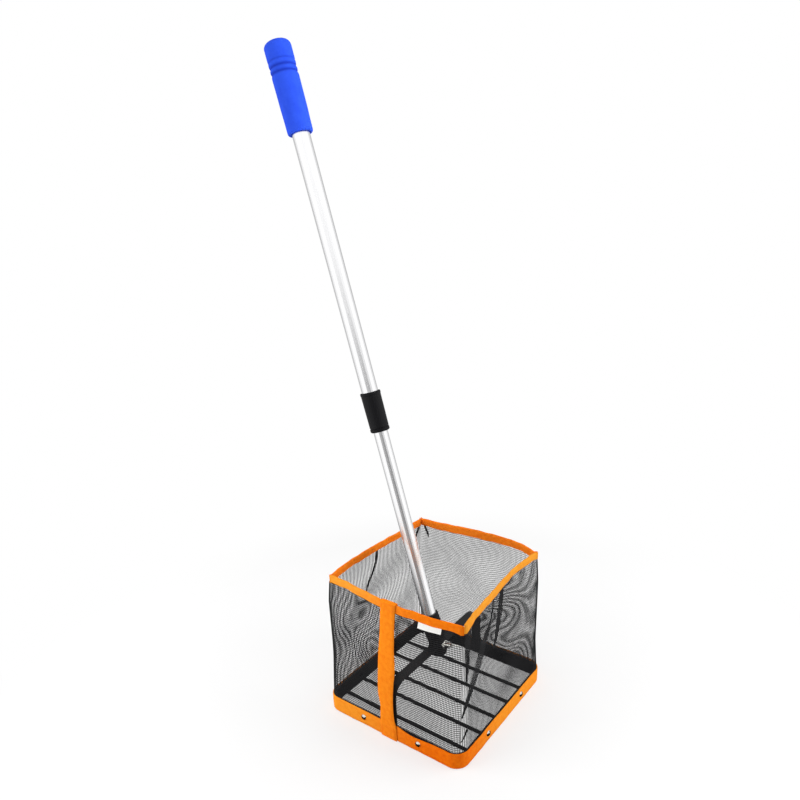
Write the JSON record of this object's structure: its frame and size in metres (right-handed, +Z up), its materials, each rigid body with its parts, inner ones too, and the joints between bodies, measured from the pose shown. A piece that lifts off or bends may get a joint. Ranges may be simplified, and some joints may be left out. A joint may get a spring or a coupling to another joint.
{
  "type": "table tennis ball picker",
  "caption": "Square net basket with a barred rubber floor and webbing edges, on a steel bail with a tilting, telescopic aluminium pole and foam grip, for picking up balls.",
  "frame": {"origin": "centre of the whole part's box, on the floor plane under the base frame", "axes": "+Z up; the pole tilts about an axis along Y and leans towards -X at rest; the floor bars run along X"},
  "size_m": [0.3962, 0.268, 0.9594],
  "materials": {
    "orange_webbing": "woven polyester webbing",
    "black_net": "knitted polyester mesh",
    "white_tape": "woven tape",
    "black_painted_steel": "satin powder coat",
    "black_rubber": "matt moulded",
    "black_nylon": "fine moulded texture",
    "bright_steel": "bright",
    "plated_steel": "bright zinc plate",
    "satin_aluminium": "satin anodised",
    "blue_foam": "closed-cell foam"
  },
  "bodies": {
    "basket": {"base_frame": "black_painted_steel", "base_band": "orange_webbing", "rivet_front_left_a": "bright_steel", "rivet_front_left_b": "bright_steel", "rivet_front_right_a": "bright_steel", "rivet_front_right_b": "bright_steel", "rivet_back_right_a": "bright_steel", "rivet_back_right_b": "bright_steel", "rivet_back_left_a": "bright_steel", "rivet_back_left_b": "bright_steel", "floor_bar_1": "black_rubber", "floor_bar_2": "black_rubber", "floor_bar_3": "black_rubber", "floor_bar_4": "black_rubber", "floor_bar_5": "black_rubber", "net_front_left": "black_net", "net_front_right": "black_net", "net_back_right": "black_net", "net_back_left": "black_net", "hem_front_left": "orange_webbing", "hem_front_right": "orange_webbing", "hem_back_right": "orange_webbing", "hem_back_left": "orange_webbing", "front_strap": "orange_webbing", "label": "white_tape", "bail": "black_painted_steel", "leg_rivet_front": "bright_steel", "leg_rivet_back": "bright_steel", "hinge_shoe_upper": "black_nylon", "hinge_shoe_lower": "black_nylon"},
    "lower_pole": {"knuckle": "black_nylon", "lower_tube": "satin_aluminium", "socket_pin": "bright_steel", "guide_bush": "black_nylon"},
    "clamp_screw": {"wing_screw": "plated_steel"},
    "upper_pole": {"upper_tube": "satin_aluminium", "top_plug": "black_nylon", "lock_sleeve": "black_nylon", "lock_collet": "black_nylon", "grip": "blue_foam"},
    "twist_collar": {"lock_collar": "black_nylon"}
  },
  "joints": [
    {"name": "pole_tilt", "type": "hinge", "parent": "basket", "child": "lower_pole", "pos_m": [0.06716, -0.00282, 0.094], "axis": [0, 1, 0], "range_deg": [-15, 46]},
    {"name": "pole_slide", "type": "slide", "parent": "lower_pole", "child": "upper_pole", "axis": [-0.2782, 0, 0.9605], "range_m": [-0.29, 0.08]},
    {"name": "collar_twist", "type": "hinge", "parent": "upper_pole", "child": "twist_collar", "pos_m": [0.06716, -0.00282, 0.094], "axis": [-0.2782, 0, 0.9605], "range_deg": [0, 90]},
    {"name": "wing_turn", "type": "hinge", "parent": "lower_pole", "child": "clamp_screw", "pos_m": [0.06716, -0.00282, 0.094], "axis": [0.9605, 0, 0.2782], "range_deg": [0, 360]}
  ]
}
